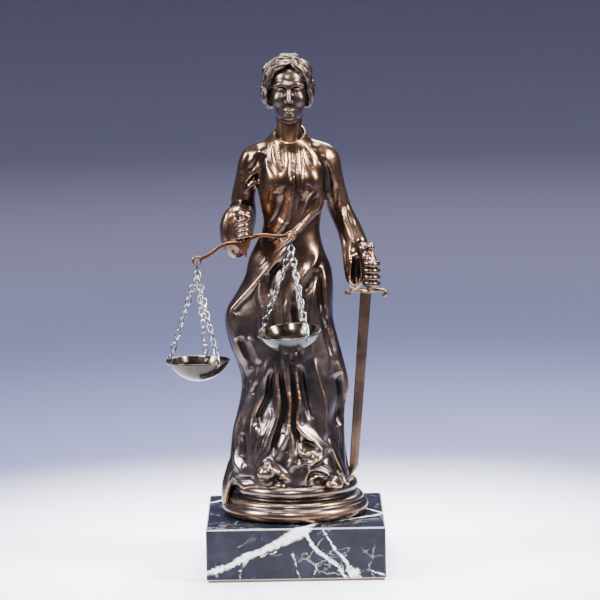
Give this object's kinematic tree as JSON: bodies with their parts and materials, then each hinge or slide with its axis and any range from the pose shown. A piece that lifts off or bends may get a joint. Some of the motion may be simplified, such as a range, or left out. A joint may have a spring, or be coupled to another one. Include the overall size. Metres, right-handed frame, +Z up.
{
  "type": "lady justice statue",
  "caption": "Cast bronze statue of a robed woman with a hanging beam scale in one fist and a lowered sword in the other, on a round base and a square marble plinth.",
  "frame": {"origin": "centre of the underside of the felt pad under the plinth", "axes": "+Z up; the figure looks towards -Y; +X is the viewer's right, on the side of the sword"},
  "size_m": [0.1358, 0.1238, 0.3192],
  "materials": {
    "felt": "matte",
    "marble": "polished",
    "bronze": "gloss",
    "sword_bronze": "satin",
    "copper": "satin",
    "dark_wire": "satin",
    "silver": "gloss",
    "pan_steel": "gloss"
  },
  "bodies": {
    "root": {"felt_pad": "felt", "marble_plinth": "marble", "bronze_figure": "bronze", "sword": "sword_bronze", "scale_beam": "copper", "hook_left": "dark_wire", "hook_right": "dark_wire", "chain_left_front": "silver", "chain_left_rear": "silver", "chain_left_outer": "silver", "chain_right_front": "silver", "chain_right_rear": "silver", "chain_right_outer": "silver", "pan_left": "pan_steel", "pan_right": "pan_steel"}
  },
  "joints": []
}
